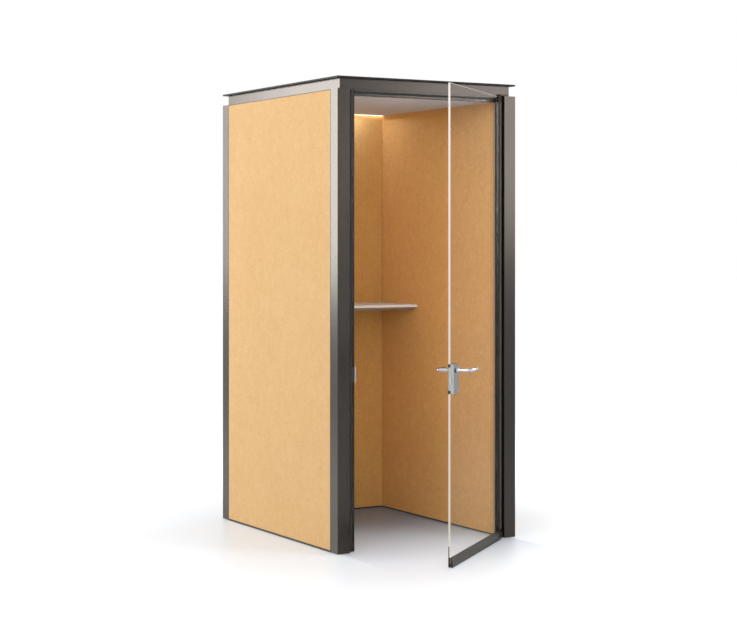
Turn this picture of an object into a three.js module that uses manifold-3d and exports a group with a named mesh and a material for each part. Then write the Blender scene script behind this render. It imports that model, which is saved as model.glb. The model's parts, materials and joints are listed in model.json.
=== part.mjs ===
// Acoustic office pod for one person: an aluminium frame with felt walls, a glass door and a fixed shelf.
// Millimetres, +Z up. The origin is on the floor, in the middle of the pod's footprint.
// +X runs to the right along the front, and +Y runs from the front to the back.
import * as THREE from "three";
import { mergeVertices } from "three/addons/utils/BufferGeometryUtils.js";
import Module from "manifold-3d";

// Overall size
const podWidth = 1000;
const podDepth = 1250;

// Gap between two pieces that rest on, or sit in, each other
const fit = 0.3;

// How far a cutting solid runs past the face that it cuts, and a joined one into its neighbour
const past = 1;

// Corner posts: hollow extrusions with a screw channel in the middle
const postWidth = 65;
const postDepth = 70;
const postWall = 3;
const postCorner = 1.5;
const postLift = 3;
const channelDiameter = 22;

// Levelling glides
const glidePadDiameter = 48;
const glideStemDiameter = 12;
const glideStemLength = 70;
const glideChamfer = 0.8;

// Roof plate, and the set-back ring of beams that carries it
const roofThickness = 8;
const ringHeight = 50;
const ringSetback = 23;
const ringWall = 3;
const ringFlange = 30;

// Wall cassettes
const sillLift = 2;
const sillHeight = 8;
const capHeight = 4;
const stileWidth = 3;
const outerFelt = 9;
const innerFelt = 8;

// Ceiling and its air slots: the ceiling height sets the height of the whole pod
const ceilingHeight = 2147;
const ceilingToPostTop = 25;
const ceilingThickness = 12;
const ventInset = 180;
const ventFromFront = 520;
const ventSlotLength = 104;
const ventSlotWidth = 6;
const ventSlotPitch = 13;
const ventSlots = 8;
const ventSlotSegments = 3;

// Light strip along the rear edge of the ceiling
const lightWidth = 17;
const lightHeight = 14;
const lightWall = 1.5;
const diffuserThickness = 2;

// Ventilation fan
const fanSize = 120;
const fanHeight = 25;
const fanCorner = 6;
const fanBore = 112;
const fanHub = 40;
const fanStrut = 6;
const fanBase = 4;
const fanShaft = 6;
const fanBlades = 7;
const fanTipGap = 3;
const fanRootSink = 2;
const hubDrop = 1;
const hubFootChamfer = 1;
const hubTopChamfer = 2;
const bladeChord = 25;
const bladeThickness = 1.8;
const bladeCamber = 1.6;
const bladeRootPitch = 44;
const bladeTipPitch = 26;
const bladeStations = 5;

// Air outlet and power inlet in the rear beam, and the power supply over the ceiling
const outletSlots = 5;
const outletSlotLength = 60;
const outletSlotWidth = 9;
const outletPitch = 76;
const inletFromRight = 210;
const inletWidth = 27;
const inletHeight = 20;
const inletDepth = 22;
const inletBezel = 7;
const inletBezelThickness = 2.5;
const inletSocket = 16;
const supplyLength = 170;
const supplyWidth = 52;
const supplyHeight = 30;
const supplyEar = 14;
const supplyEarThickness = 3;
const supplyInset = 190;

// Shelf on two concealed brackets
const shelfHeight = 1124;
const shelfDepth = 368;
const shelfThickness = 28;
const shelfEdge = 13;
const shelfBevel = 39;
const bracketSpacing = 460;
const bracketWidth = 40;
const bracketReach = 250;
const bracketArm = 5;
const bracketUpright = 3;

// Door glass and its pivots
const glassThickness = 10;
const glassSetback = 7;
const glassTopGap = 6;
const glassHingeReach = 3.5;
const doorGap = 6;
const pivotFromPost = 16;
const pivotDiameter = 8;
const doorOpening = 40.3;

// Door frame: rebate behind the glass, with a seal between the post and the lip
const rebateGap = 4;
const jambWidth = 37;
const headDrop = 31;
const jambDepth = 24;
const jambWall = 2.5;
const lipChamfer = 1.5;
const jambSealInset = 11;
const headSealInset = 9;
const sealWidth = 11;
const sealProud = 2.4;
const sealRootWidth = 6;
const sealRootDepth = 6;
const sealChamfer = 1;

// Pivot brackets
const bracketNose = 9;
const topBracketThickness = 8;
const topBracketReach = 25;
const topPinLength = 24;
const footBracketLift = 1;
const footBracketThickness = 4;
const footPinLength = 12;

// Patch that holds the top corner of the glass
const patchLength = 52;
const patchHeight = 24;
const patchBlock = 13.4;
const patchOuter = 5;
const patchInner = 1;
const patchInnerEnd = 1;

// Bottom rail: an L section that the glass stands in, with a sloped upper face
const railLift = 6;
const railHeight = 42;
const railLedge = 12;
const railProud = 10;
const railFlush = 0.5;
const railSlope = 20;
const railLip = 1.7;
const railFoot = 2;
const railNose = 6;
const endCapThickness = 1.7;

// Floor sweep under the rail
const sweepLift = 1;
const sweepBase = 1.7;
const sweepWidth = 16;
const sweepLip = 3;
const sweepFromPivot = 38;

// Lock in a notch of the glass: its heights follow the levers
const leverHeight = 880;
const leverBackset = 42;
const lockBelowLever = 103;
const lockAboveLever = 30;
const lockLength = 76;
const lockProud = 15.5;
const lockCorner = 4;
const lockPlate = 1.1;
const notchLength = 68;
const gasketBack = 5;
const gasketEnd = 14;
const spindleWidth = 8;
const spindleBore = 12.4;

// Latch bolt
const latchTopBelowLever = 26;
const latchHeight = 34;
const latchThickness = 9.5;
const latchFromGlassCentre = 1;
const latchLength = 41;
const latchThrow = 11;
const latchTravel = 10;
const latchTip = 2.5;
const latchRoot = 1.5;

// Key plug
const plugBelowLever = 28;
const plugBackset = 38;
const plugDiameter = 14;
const plugDepth = 10.5;
const keySlotWidth = 2.5;
const keySlotHeight = 8;
const keySlotDepth = 4;

// Levers: a flared collar, a neck, a bend and a grip
const leverDiameter = 17;
const leverNeck = 62;
const leverBend = 14;
const leverGrip = 112;
const leverGap = 0.5;
const outerCollar = 24;
const innerCollar = 19.6;
const collarHeight = 12;
const collarLand = 4;
const collarSink = 1;

// Strike plate on the left jamb
const strikeTopBelowLever = 11;
const strikeHeight = 71;
const strikeThickness = 2;
const strikeFront = 0.5;
const strikePastLip = 5;
const strikeReturn = 12;
const strikeClearance = 0.5;

// Facets of round pieces, and how close two points are to count as one
const roundSegments = 24;
const samePoint = 1e-3;
const sameVertex = 1e-4;
const arcSegments = 6;
const leverSteps = 34;

// Places worked out from the sizes above
const left = -podWidth / 2;
const right = podWidth / 2;
const front = -podDepth / 2;
const back = podDepth / 2;
const postTop = ceilingHeight + ceilingToPostTop;
const roofUnder = postTop + ringHeight;
const podHeight = roofUnder + roofThickness;
const innerLeft = left + postWidth + fit + innerFelt;
const innerRight = right - postWidth - fit - innerFelt;
const innerBack = back - postDepth - fit - innerFelt;
const glassHalf = glassThickness / 2;
const pivotX = right - postWidth - pivotFromPost;
const pivotY = front + glassSetback + glassHalf;
const rebate = front + glassSetback + glassThickness + rebateGap;
const jambBack = rebate + jambDepth;
const doorReach = pivotX - (left + postWidth + doorGap);
const glassTop = postTop - glassTopGap;
const ceilingTop = ceilingHeight + ceilingThickness;
const pivotBore = pivotDiameter / 2 + fit;
const lockLow = leverHeight - lockBelowLever;
const lockHigh = leverHeight + lockAboveLever;
const latchHigh = leverHeight - latchTopBelowLever;
const latchLow = latchHigh - latchHeight;
const plugHeight = leverHeight - plugBelowLever;
const strikeHigh = leverHeight - strikeTopBelowLever;
const strikeLow = strikeHigh - strikeHeight;

// Finishes
const finish = (color, roughness, metalness) => () =>
  new THREE.MeshStandardMaterial({ color, roughness, metalness });
const bronze = finish(0x4b4642, 0.42, 0.85);
const darkBronze = finish(0x35312e, 0.5, 0.8);
const outerFeltCloth = finish(0xedc28a, 0.95, 0);
const innerFeltCloth = finish(0xdaa566, 0.95, 0);
const mineralCore = finish(0xb9b2a0, 1, 0);
const paleBoard = finish(0xb8b1ad, 0.8, 0);
const whiteBoard = finish(0xe8e4e0, 0.45, 0);
const opal = finish(0xfff1d8, 0.5, 0);
const steel = finish(0xb4b4b6, 0.3, 1);
const zincSteel = finish(0x8f9092, 0.45, 1);
const blackRubber = finish(0x1c1b1a, 0.8, 0);
const blackPlastic = finish(0x222120, 0.6, 0);
const clearGlass = () =>
  new THREE.MeshStandardMaterial({
    color: 0xe4efec,
    roughness: 0.05,
    metalness: 0,
    transparent: true,
    opacity: 0.25,
  });

// Solids: cuts and joins of closed geometries
const wasm = await Module();
wasm.setup();

function solid(geometry) {
  const bare = geometry.clone();
  bare.deleteAttribute("normal");
  bare.deleteAttribute("uv");
  const merged = mergeVertices(bare, sameVertex);
  return new wasm.Manifold(
    new wasm.Mesh({
      numProp: 3,
      vertProperties: merged.attributes.position.array,
      triVerts: new Uint32Array(merged.index.array),
    }),
  );
}

function surface(manifold) {
  const mesh = manifold.getMesh();
  const geometry = new THREE.BufferGeometry();
  geometry.setAttribute("position", new THREE.BufferAttribute(mesh.vertProperties, 3));
  geometry.setIndex(new THREE.BufferAttribute(mesh.triVerts, 1));
  geometry.computeVertexNormals();
  return geometry;
}

function cut(base, ...tools) {
  return surface(tools.reduce((rest, tool) => rest.subtract(solid(tool)), solid(base)));
}

function join(first, ...others) {
  return surface(others.reduce((sum, other) => sum.add(solid(other)), solid(first)));
}

function common(first, second) {
  return surface(solid(first).intersect(solid(second)));
}

// Outlines
function outline(points) {
  return new THREE.Shape(points.map(([a, b]) => new THREE.Vector2(a, b)));
}

function rectangle(a0, a1, b0, b1) {
  return outline([
    [a0, b0],
    [a1, b0],
    [a1, b1],
    [a0, b1],
  ]);
}

function roundedRectangle(a0, a1, b0, b1, radius) {
  const shape = new THREE.Shape();
  shape.moveTo(a0 + radius, b0);
  shape.lineTo(a1 - radius, b0);
  shape.absarc(a1 - radius, b0 + radius, radius, -Math.PI / 2, 0);
  shape.lineTo(a1, b1 - radius);
  shape.absarc(a1 - radius, b1 - radius, radius, 0, Math.PI / 2);
  shape.lineTo(a0 + radius, b1);
  shape.absarc(a0 + radius, b1 - radius, radius, Math.PI / 2, Math.PI);
  shape.lineTo(a0, b0 + radius);
  shape.absarc(a0 + radius, b0 + radius, radius, Math.PI, 1.5 * Math.PI);
  return shape;
}

function circle(a, b, radius) {
  return new THREE.Shape().absarc(a, b, radius, 0, 2 * Math.PI);
}

// A slot with round ends, lying along the first axis
function slot(a, b, length, width) {
  return roundedRectangle(a - length / 2, a + length / 2, b - width / 2, b + width / 2, width / 2);
}

// Prisms: an outline drawn in X and Y, in Y and Z, or in X and Z, drawn out along the third axis
const axisX = new THREE.Vector3(1, 0, 0);
const axisY = new THREE.Vector3(0, 1, 0);
const axisZ = new THREE.Vector3(0, 0, 1);
const alongXBasis = new THREE.Matrix4().makeBasis(axisY, axisZ, axisX);
const alongYBasis = new THREE.Matrix4().makeBasis(axisX, axisZ, axisY.clone().negate());

// The same outline in straight lines, without points that repeat where two curves meet
function straightened(shape, segments) {
  const { shape: rim, holes } = shape.extractPoints(segments);
  const single = (points) =>
    points.filter((point, i) => point.distanceTo(points[(i + 1) % points.length]) > samePoint);
  const straight = new THREE.Shape(single(THREE.ShapeUtils.isClockWise(rim) ? rim.reverse() : rim));
  straight.holes = holes.map((hole) => new THREE.Path(single(hole)));
  return straight;
}

function prism(shape, depth, segments) {
  return new THREE.ExtrudeGeometry(straightened(shape, segments), { depth, bevelEnabled: false });
}

function alongZ(shape, z0, z1, segments = arcSegments) {
  return prism(shape, z1 - z0, segments).translate(0, 0, z0);
}

function alongX(shape, x0, x1, segments = arcSegments) {
  return prism(shape, x1 - x0, segments).applyMatrix4(alongXBasis).translate(x0, 0, 0);
}

function alongY(shape, y0, y1, segments = arcSegments) {
  return prism(shape, y1 - y0, segments).applyMatrix4(alongYBasis).translate(0, y1, 0);
}

function block(x0, x1, y0, y1, z0, z1) {
  return alongZ(rectangle(x0, x1, y0, y1), z0, z1);
}

// A profile of radius and height turned about the Z axis
function turned(profile) {
  const points = profile.map(([radius, height]) => new THREE.Vector2(radius, height));
  return new THREE.LatheGeometry(points, roundSegments).rotateX(Math.PI / 2);
}

// A skin through rings of equal count, closed at both ends
function loft(rings) {
  const count = rings[0].length;
  const positions = rings.flat().flatMap((p) => [p.x, p.y, p.z]);
  const index = [];
  for (let i = 0; i + 1 < rings.length; i++) {
    for (let j = 0; j < count; j++) {
      const a = i * count + j;
      const b = i * count + ((j + 1) % count);
      index.push(a, b, b + count, a, b + count, a + count);
    }
  }
  const last = (rings.length - 1) * count;
  for (let j = 1; j + 1 < count; j++) {
    index.push(0, j + 1, j, last, last + j, last + j + 1);
  }
  const geometry = new THREE.BufferGeometry();
  geometry.setAttribute("position", new THREE.Float32BufferAttribute(positions, 3));
  geometry.setIndex(index);
  geometry.computeVertexNormals();
  return geometry;
}

const pod = new THREE.Group();
pod.name = "acoustic_office_pod";

function piece(name, geometry, material, parent = pod) {
  const mesh = new THREE.Mesh(geometry, material());
  mesh.name = name;
  parent.add(mesh);
  return mesh;
}

function nested(parent, x, y, z, turn = 0) {
  const group = new THREE.Group();
  group.position.set(x, y, z);
  group.rotation.z = turn;
  parent.add(group);
  return group;
}

// A post: four chambers round a screw channel that webs join to the outer wall
function post() {
  const halfWidth = postWidth / 2;
  const halfDepth = postDepth / 2;
  const outside = roundedRectangle(-halfWidth, halfWidth, -halfDepth, halfDepth, postCorner);
  const a = halfWidth - postWall;
  const b = halfDepth - postWall;
  const web = postWall / 2;
  const radius = channelDiameter / 2;
  const rise = Math.asin(web / radius);
  const arc = Array.from({ length: arcSegments + 1 }, (_, i) => {
    const angle = rise + ((Math.PI / 2 - 2 * rise) * i) / arcSegments;
    return [radius * Math.cos(angle), radius * Math.sin(angle)];
  });
  const chambers = [0, 1, 2, 3].map((quarter) => {
    const [far, near] = quarter % 2 ? [b, a] : [a, b];
    const corner = [
      [web, near],
      [far, near],
      [far, web],
    ];
    const chamber = alongZ(outline([...arc, ...corner]), postLift - past, postTop + past);
    return chamber.rotateZ((quarter * Math.PI) / 2);
  });
  const channel = circle(0, 0, glideStemDiameter / 2 + fit);
  return cut(
    alongZ(outside, postLift, postTop),
    ...chambers,
    alongZ(channel, postLift - past, postTop + past),
  );
}

// Levelling glide: a flat pad under the post and a stem that runs in the screw channel
function glide() {
  const pad = glidePadDiameter / 2;
  const stem = glideStemDiameter / 2;
  const padTop = postLift - fit;
  return turned([
    [0, 0],
    [pad - glideChamfer, 0],
    [pad, glideChamfer],
    [pad, padTop],
    [stem, padTop],
    [stem, padTop + glideStemLength - glideChamfer],
    [stem - glideChamfer, padTop + glideStemLength],
    [0, padTop + glideStemLength],
  ]);
}

const latchNear = glassHalf + glassSetback - (latchThickness - latchFromGlassCentre);
const latchFar = glassHalf + glassSetback + latchFromGlassCentre;

// The opening that takes the latch when the door is shut, cut through the post wall and the strike plate
function latchWindow(clearance) {
  const x = left + postWidth;
  return block(
    x - postWall - past,
    x + strikeThickness + fit + past,
    front + latchNear - clearance,
    front + latchFar + clearance,
    latchLow - clearance,
    latchHigh + clearance,
  );
}

function posts() {
  const sides = { left: left + postWidth / 2, right: right - postWidth / 2 };
  const ends = { front: front + postDepth / 2, rear: back - postDepth / 2 };
  for (const [end, y] of Object.entries(ends)) {
    for (const [side, x] of Object.entries(sides)) {
      const plain = post().translate(x, y, 0);
      const takesLatch = end === "front" && side === "left";
      const shaped = takesLatch ? cut(plain, latchWindow(2 * strikeClearance)) : plain;
      piece(`post_${end}_${side}`, shaped, bronze);
      piece(`glide_${end}_${side}`, glide().translate(x, y, 0), zincSteel);
    }
  }
}

// One wall in its own frame: X along the wall, Y inwards from its outer face
function wall(side, length, thickness, group, feltFrom, feltTo) {
  const half = length / 2 - fit;
  const low = sillLift;
  const high = postTop - fit;
  const inLow = low + sillHeight;
  const inHigh = high - capHeight;
  const inHalf = half - stileWidth;
  const frame = rectangle(-half, half, low, high);
  frame.holes.push(rectangle(-inHalf, inHalf, inLow, inHigh));
  const infill = rectangle(-inHalf + fit, inHalf - fit, inLow + fit, inHigh - fit);
  const lining = rectangle(feltFrom, feltTo, inLow, high);
  piece(`${side}_wall_frame`, alongY(frame, 0, thickness), darkBronze, group);
  piece(`${side}_wall_core`, alongY(infill, outerFelt + fit, thickness), mineralCore, group);
  piece(`${side}_outer_felt`, alongY(infill, 0, outerFelt), outerFeltCloth, group);
  const liningBack = thickness + fit;
  piece(`${side}_inner_felt`, alongY(lining, liningBack, liningBack + innerFelt), innerFeltCloth, group);
}

function walls() {
  const sideLength = podDepth - 2 * postDepth;
  const backLength = podWidth - 2 * postWidth;
  const liningFront = jambBack + fit;
  const liningRear = innerBack - fit;
  const quarter = Math.PI / 2;
  const leftGroup = nested(pod, left, 0, 0, -quarter);
  wall("left", sideLength, postWidth, leftGroup, -liningRear, -liningFront);
  const rightGroup = nested(pod, right, 0, 0, quarter);
  wall("right", sideLength, postWidth, rightGroup, liningFront, liningRear);
  const backGroup = nested(pod, 0, back, 0, 2 * quarter);
  wall("rear", backLength, postDepth, backGroup, innerLeft + fit, innerRight - fit);
}

// One beam of the roof ring in its own frame: X along it, Y inwards, both ends mitred
function ringBeam(length) {
  const high = ringHeight - 2 * fit;
  const section = outline([
    [0, 0],
    [ringFlange, 0],
    [ringFlange, ringWall],
    [ringWall, ringWall],
    [ringWall, high - ringWall],
    [ringFlange, high - ringWall],
    [ringFlange, high],
    [0, high],
  ]);
  const beam = alongX(section, -1, 1);
  const position = beam.getAttribute("position");
  for (let i = 0; i < position.count; i++) {
    const reach = length / 2 - position.getY(i) - fit / 2;
    position.setX(i, Math.sign(position.getX(i)) * reach);
  }
  return beam;
}

// The rear beam has a row of air outlets and the seat of the power inlet
function rearBeam(length) {
  const middle = ringHeight / 2 - fit;
  const row = Array.from({ length: outletSlots }, (_, i) => {
    const x = (i - (outletSlots - 1) / 2) * outletPitch;
    return alongY(slot(x, middle, outletSlotLength, outletSlotWidth), -past, ringWall + past);
  });
  const x = -(right - inletFromRight);
  const seat = rectangle(
    x - inletWidth / 2 - fit,
    x + inletWidth / 2 + fit,
    middle - inletHeight / 2 - fit,
    middle + inletHeight / 2 + fit,
  );
  return cut(ringBeam(length), ...row, alongY(seat, -past, ringWall + past));
}

// Power inlet: a bezel outside the beam, and a body behind it with an open socket
function powerInlet() {
  const halfWidth = inletWidth / 2;
  const halfHeight = inletHeight / 2;
  const rim = inletBezel;
  const bezel = roundedRectangle(
    -halfWidth - rim,
    halfWidth + rim,
    -halfHeight - rim,
    halfHeight + rim,
    rim / 2,
  );
  const body = rectangle(-halfWidth, halfWidth, -halfHeight, halfHeight);
  const wallThickness = ringWall;
  const socket = rectangle(
    wallThickness - halfWidth,
    halfWidth - wallThickness,
    wallThickness - halfHeight,
    halfHeight - wallThickness,
  );
  const whole = join(
    alongY(bezel, -inletBezelThickness - fit, -fit),
    alongY(body, -fit - past, inletDepth),
  );
  return cut(whole, alongY(socket, -inletBezelThickness - past, inletSocket));
}

function roof() {
  const plate = roundedRectangle(left, right, front, back, postCorner);
  piece("roof_plate", alongZ(plate, roofUnder, podHeight), darkBronze);
  const across = podWidth - 2 * ringSetback;
  const along = podDepth - 2 * ringSetback;
  const quarter = Math.PI / 2;
  const foot = postTop + fit;
  const frontGroup = nested(pod, 0, front + ringSetback, foot);
  piece("ring_beam_front", ringBeam(across), bronze, frontGroup);
  const leftGroup = nested(pod, left + ringSetback, 0, foot, -quarter);
  piece("ring_beam_left", ringBeam(along), bronze, leftGroup);
  const rightGroup = nested(pod, right - ringSetback, 0, foot, quarter);
  piece("ring_beam_right", ringBeam(along), bronze, rightGroup);
  const rearGroup = nested(pod, 0, back - ringSetback, foot, 2 * quarter);
  piece("ring_beam_rear", rearBeam(across), bronze, rearGroup);
  const inletGroup = nested(rearGroup, -(right - inletFromRight), 0, ringHeight / 2 - fit);
  piece("power_inlet", powerInlet(), blackPlastic, inletGroup);
}

const ventX = innerLeft + ventInset;
const ventY = front + ventFromFront;
const lightFront = innerBack - fit - lightWidth;

function ceiling() {
  const edge = { x0: innerLeft + fit, x1: innerRight - fit };
  const panel = block(
    edge.x0,
    edge.x1,
    jambBack + fit,
    lightFront - fit,
    ceilingHeight,
    ceilingTop,
  );
  const slots = Array.from({ length: ventSlots }, (_, i) => {
    const y = ventY + (i - (ventSlots - 1) / 2) * ventSlotPitch;
    const opening = slot(ventX, y, ventSlotLength, ventSlotWidth);
    return alongZ(opening, ceilingHeight - past, ceilingTop + past, ventSlotSegments);
  });
  piece("ceiling_panel", cut(panel, ...slots), paleBoard);

  const light = lightFront + lightWidth;
  const top = ceilingHeight + lightHeight;
  const section = outline([
    [lightFront, ceilingHeight],
    [lightFront + lightWall, ceilingHeight],
    [lightFront + lightWall, top - lightWall],
    [light - lightWall, top - lightWall],
    [light - lightWall, ceilingHeight],
    [light, ceilingHeight],
    [light, top],
    [lightFront, top],
  ]);
  piece("light_channel", alongX(section, edge.x0, edge.x1), bronze);
  const inset = lightWall + fit;
  const strip = rectangle(
    lightFront + inset,
    light - inset,
    ceilingHeight,
    ceilingHeight + diffuserThickness,
  );
  piece("light_diffuser", alongX(strip, edge.x0, edge.x1), opal);
}

// Fan frame: a square ring with struts to a motor base that carries the shaft
function fanFrame() {
  const half = fanSize / 2;
  const ring = roundedRectangle(-half, half, -half, half, fanCorner);
  ring.holes.push(circle(0, 0, fanBore / 2));
  const struts = [0, 1, 2].map((i) =>
    alongZ(rectangle(0, fanBore / 2 + past, -fanStrut / 2, fanStrut / 2), 0, fanBase).rotateZ(
      (i * 2 * Math.PI) / 3,
    ),
  );
  const motor = turned([
    [0, 0],
    [fanHub / 2, 0],
    [fanHub / 2, fanBase],
    [fanShaft / 2, fanBase],
    [fanShaft / 2, fanHeight - fanBase],
    [0, fanHeight - fanBase],
  ]);
  return join(alongZ(ring, 0, fanHeight, 2 * arcSegments), motor, ...struts);
}

// One blade along X: the chord turns flatter from root to tip
function fanBlade() {
  const root = fanHub / 2 - fanRootSink;
  const tip = fanBore / 2 - fanTipGap;
  const middle = (fanBase + fanHeight) / 2;
  const rings = Array.from({ length: bladeStations }, (_, i) => {
    const share = i / (bladeStations - 1);
    const pitch = THREE.MathUtils.degToRad(bladeRootPitch + (bladeTipPitch - bladeRootPitch) * share);
    const half = bladeChord / 2;
    const thick = bladeThickness / 2;
    const profile = [
      [-half, 0],
      [-half / 2, bladeCamber - thick],
      [half / 2, bladeCamber - thick],
      [half, 0],
      [half / 2, bladeCamber + thick],
      [-half / 2, bladeCamber + thick],
    ];
    const x = root + (tip - root) * share;
    return profile.map(
      ([chord, rise]) =>
        new THREE.Vector3(
          x,
          chord * Math.cos(pitch) - rise * Math.sin(pitch),
          middle + chord * Math.sin(pitch) + rise * Math.cos(pitch),
        ),
    );
  });
  return loft(rings);
}

function fanImpeller() {
  const low = fanBase + fit;
  const high = fanHeight - hubDrop;
  const bore = fanShaft / 2 + fit;
  const boreTop = fanHeight - fanBase + fit;
  const hub = turned([
    [0, boreTop],
    [bore, boreTop],
    [bore, low],
    [fanHub / 2 - hubFootChamfer, low],
    [fanHub / 2, low + hubFootChamfer],
    [fanHub / 2, high - hubTopChamfer],
    [fanHub / 2 - hubTopChamfer, high],
    [0, high],
  ]);
  const blades = Array.from({ length: fanBlades }, (_, i) =>
    fanBlade().rotateZ((i * 2 * Math.PI) / fanBlades),
  );
  return join(hub, ...blades);
}

// Power supply: a closed case on a base plate with an ear at each end
function powerSupply() {
  const half = supplyLength / 2;
  const base = slot(0, 0, supplyLength + 2 * supplyEar, supplyWidth);
  const foot = supplyEarThickness;
  const body = roundedRectangle(-half, half, -supplyWidth / 2, supplyWidth / 2, foot);
  return join(alongZ(base, 0, foot), alongZ(body, foot / 2, supplyHeight));
}

function roofVoid() {
  const seat = ceilingTop + fit;
  const fan = nested(pod, ventX, ventY, seat);
  piece("fan_frame", fanFrame(), blackPlastic, fan);
  piece("fan_impeller", fanImpeller(), blackPlastic, fan);
  const supply = nested(pod, innerRight - supplyInset, ventY, seat);
  piece("power_supply", powerSupply(), zincSteel, supply);
}

function shelf() {
  const rear = innerBack - fit;
  const edge = innerBack - shelfDepth;
  const under = shelfHeight - shelfThickness;
  const section = outline([
    [edge, shelfHeight - shelfEdge],
    [edge + shelfBevel, under],
    [rear, under],
    [rear, shelfHeight],
    [edge, shelfHeight],
  ]);
  const board = alongX(section, innerLeft + fit, innerRight - fit);
  const pockets = [];
  const upright = rear - bracketUpright;
  const top = shelfHeight - bracketArm;
  for (const [side, x] of [
    ["left", -bracketSpacing / 2],
    ["right", bracketSpacing / 2],
  ]) {
    const x0 = x - bracketWidth / 2;
    const x1 = x + bracketWidth / 2;
    const angle = outline([
      [rear - bracketReach, under],
      [rear, under],
      [rear, top],
      [upright, top],
      [upright, under + bracketArm],
      [rear - bracketReach, under + bracketArm],
    ]);
    piece(`shelf_bracket_${side}`, alongX(angle, x0, x1), zincSteel);
    const around = outline([
      [rear - bracketReach - fit, under - past],
      [rear + past, under - past],
      [rear + past, top + fit],
      [upright - fit, top + fit],
      [upright - fit, under + bracketArm + fit],
      [rear - bracketReach - fit, under + bracketArm + fit],
    ]);
    pockets.push(alongX(around, x0 - fit, x1 + fit));
  }
  piece("shelf", cut(board, ...pockets), whiteBoard);
}

// Section of a jamb or of the head: u runs from the post or the ring into the opening, v from the rebate back
function frameSection(width, sealInset, place) {
  const grooveIn = sealInset + (sealWidth - sealRootWidth) / 2 - fit;
  const grooveOut = grooveIn + sealRootWidth + 2 * fit;
  const grooveDepth = sealRootDepth + fit;
  const corner = width - lipChamfer;
  const shape = outline(
    [
      [fit, 0],
      [grooveIn, 0],
      [grooveIn, grooveDepth],
      [grooveOut, grooveDepth],
      [grooveOut, 0],
      [corner, 0],
      [width, lipChamfer],
      [width, jambDepth],
      [fit, jambDepth],
    ].map(place),
  );
  const chamberFront = grooveDepth + jambWall;
  shape.holes.push(
    outline(
      [
        [fit + jambWall, chamberFront],
        [width - jambWall, chamberFront],
        [width - jambWall, jambDepth - jambWall],
        [fit + jambWall, jambDepth - jambWall],
      ].map(place),
    ),
  );
  return shape;
}

// Section of a seal: a root in the groove and a soft head that stands out of the rebate
function sealSection(sealInset, place) {
  const near = sealInset;
  const far = sealInset + sealWidth;
  const rootNear = near + (sealWidth - sealRootWidth) / 2;
  const rootFar = rootNear + sealRootWidth;
  return outline(
    [
      [rootNear, sealRootDepth],
      [rootFar, sealRootDepth],
      [rootFar, -fit],
      [far, -fit],
      [far, sealChamfer - sealProud],
      [far - sealChamfer, -sealProud],
      [near + sealChamfer, -sealProud],
      [near, sealChamfer - sealProud],
      [near, -fit],
      [rootNear, -fit],
    ].map(place),
  );
}

const jambFoot = footBracketLift + footBracketThickness + fit;
const jambTop = postTop - fit;

function strikePlate(place) {
  const outer = jambWidth + strikePastLip;
  const faceFront = -fit - strikeThickness;
  const sideFront = front + strikeFront - rebate;
  const bent = outline(
    [
      [fit, sideFront],
      [fit + strikeThickness, sideFront],
      [fit + strikeThickness, faceFront],
      [outer, faceFront],
      [outer, strikeReturn],
      [jambWidth + fit, strikeReturn],
      [jambWidth + fit, -fit],
      [fit, -fit],
    ].map(place),
  );
  return cut(alongZ(bent, strikeLow, strikeHigh), latchWindow(strikeClearance));
}

function doorFrame() {
  const atLeft = ([u, v]) => [left + postWidth + u, rebate + v];
  const atRight = ([u, v]) => [right - postWidth - u, rebate + v];
  const atHead = ([u, v]) => [rebate + v, postTop - u];
  const jamb = (place) => alongZ(frameSection(jambWidth, jambSealInset, place), jambFoot, jambTop);
  const seal = (place) => alongZ(sealSection(jambSealInset, place), jambFoot, jambTop);
  piece("jamb_left", jamb(atLeft), bronze);
  piece("jamb_right", jamb(atRight), bronze);
  const strikeRelief = block(
    left + postWidth,
    left + postWidth + jambWidth,
    front,
    rebate,
    strikeLow - fit,
    strikeHigh + fit,
  );
  piece("seal_left", cut(seal(atLeft), strikeRelief), blackRubber);
  piece("seal_right", seal(atRight), blackRubber);
  const headHalf = podWidth / 2 - postWidth - jambWidth - fit;
  piece("door_head", alongX(frameSection(headDrop, headSealInset, atHead), -headHalf, headHalf), bronze);
  piece("seal_head", alongX(sealSection(headSealInset, atHead), -headHalf, headHalf), blackRubber);
  piece("strike_plate", strikePlate(atLeft), steel);
}

// Top bracket: a plate on the post top and the jamb top, with a pin down into the patch
function topBracket() {
  const low = postTop + fit;
  const high = low + topBracketThickness;
  const nearY = pivotY - bracketNose;
  const farY = front + ringSetback - fit;
  const middle = (nearY + farY) / 2;
  const radius = (farY - nearY) / 2;
  const plan = new THREE.Shape();
  plan.moveTo(pivotX, nearY);
  plan.lineTo(pivotX + pivotFromPost + topBracketReach, nearY);
  plan.lineTo(pivotX + pivotFromPost + topBracketReach, farY);
  plan.lineTo(pivotX, farY);
  plan.absarc(pivotX, middle, radius, Math.PI / 2, 1.5 * Math.PI);
  const pin = alongZ(circle(pivotX, pivotY, pivotDiameter / 2), low - topPinLength, low + past);
  return join(alongZ(plan, low, high), pin);
}

// Foot bracket: a plate under the jamb, with a pin up into the rail
function footBracket() {
  const low = footBracketLift;
  const high = low + footBracketThickness;
  const plan = new THREE.Shape();
  plan.moveTo(pivotX + bracketNose, pivotY);
  plan.lineTo(pivotX + bracketNose, jambBack);
  plan.lineTo(pivotX - bracketNose, jambBack);
  plan.lineTo(pivotX - bracketNose, pivotY);
  plan.absarc(pivotX, pivotY, bracketNose, Math.PI, 2 * Math.PI);
  const pin = alongZ(circle(pivotX, pivotY, pivotDiameter / 2), high - past, high + footPinLength);
  return join(alongZ(plan, low, high), pin);
}

// The door in its own frame: origin on the pivot axis at the floor, leaf along -X, outer side towards -Y
const freeEdge = -doorReach;
const railTop = railLift + railHeight;
const railOuter = -glassHalf - railProud;
const railInner = glassHalf + railFlush;
const glassFoot = railLift + railLedge + fit;

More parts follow.
